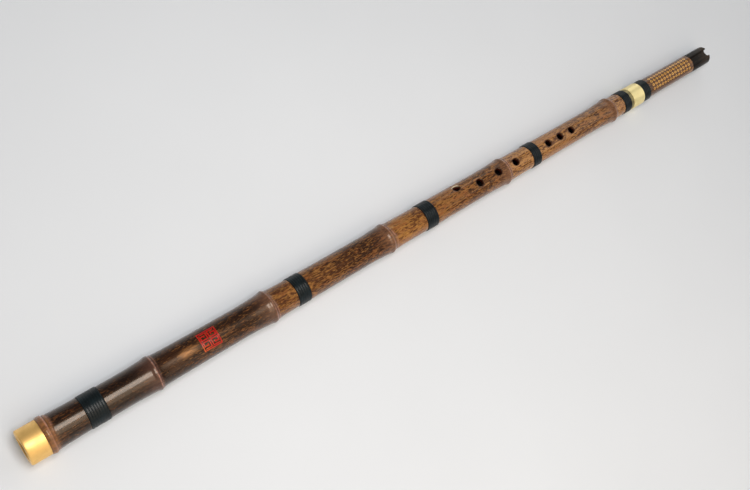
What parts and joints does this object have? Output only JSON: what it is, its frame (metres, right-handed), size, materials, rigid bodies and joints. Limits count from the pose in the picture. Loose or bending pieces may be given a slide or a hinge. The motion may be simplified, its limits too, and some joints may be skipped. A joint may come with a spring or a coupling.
{
  "type": "xiao",
  "caption": "Long end-blown bamboo flute in two sections joined by a brass tuning tenon, with natural nodes, finger holes, cord bindings, a brass foot cap and a notched dark mouth tip.",
  "frame": {"origin": "Under the middle of the flute's length, on the level of its lowest point, which is on the node nearest to the foot.", "axes": "+X runs along the bore from the foot to the blowing end. +Z is the side with the row of finger holes and the blowing notch. +Y is the side to which the lowest finger hole is offset."},
  "size_m": [0.8, 0.032, 0.032],
  "materials": {
    "dark_bamboo": "oiled and polished dark bamboo",
    "golden_bamboo": "oiled and polished golden brown bamboo",
    "brass": "polished",
    "black_cord": "wound thread under black lacquer",
    "waxed_thread": "waxed",
    "horn": "polished dark horn"
  },
  "bodies": {
    "lower_section": {"lower_tube": "dark_bamboo", "foot_ferrule": "brass", "socket_sleeve": "brass", "binding_1": "black_cord", "binding_2": "black_cord", "binding_3": "black_cord", "binding_4": "black_cord", "binding_5": "black_cord"},
    "lapping_section": {"tenon_lapping": "waxed_thread"},
    "head_section": {"tenon_sleeve": "brass", "head_ferrule": "brass", "head_tube": "golden_bamboo", "binding_6": "black_cord", "mouth_tip": "horn"}
  },
  "joints": [
    {"name": "tuning_slide", "type": "slide", "parent": "lower_section", "child": "lapping_section", "axis": [1, 0, 0], "range_m": [0, 0.046]},
    {"name": "head_twist", "type": "hinge", "parent": "lapping_section", "child": "head_section", "pos_m": [0.275, 0, 0.01598], "axis": [1, 0, 0], "continuous": true}
  ]
}
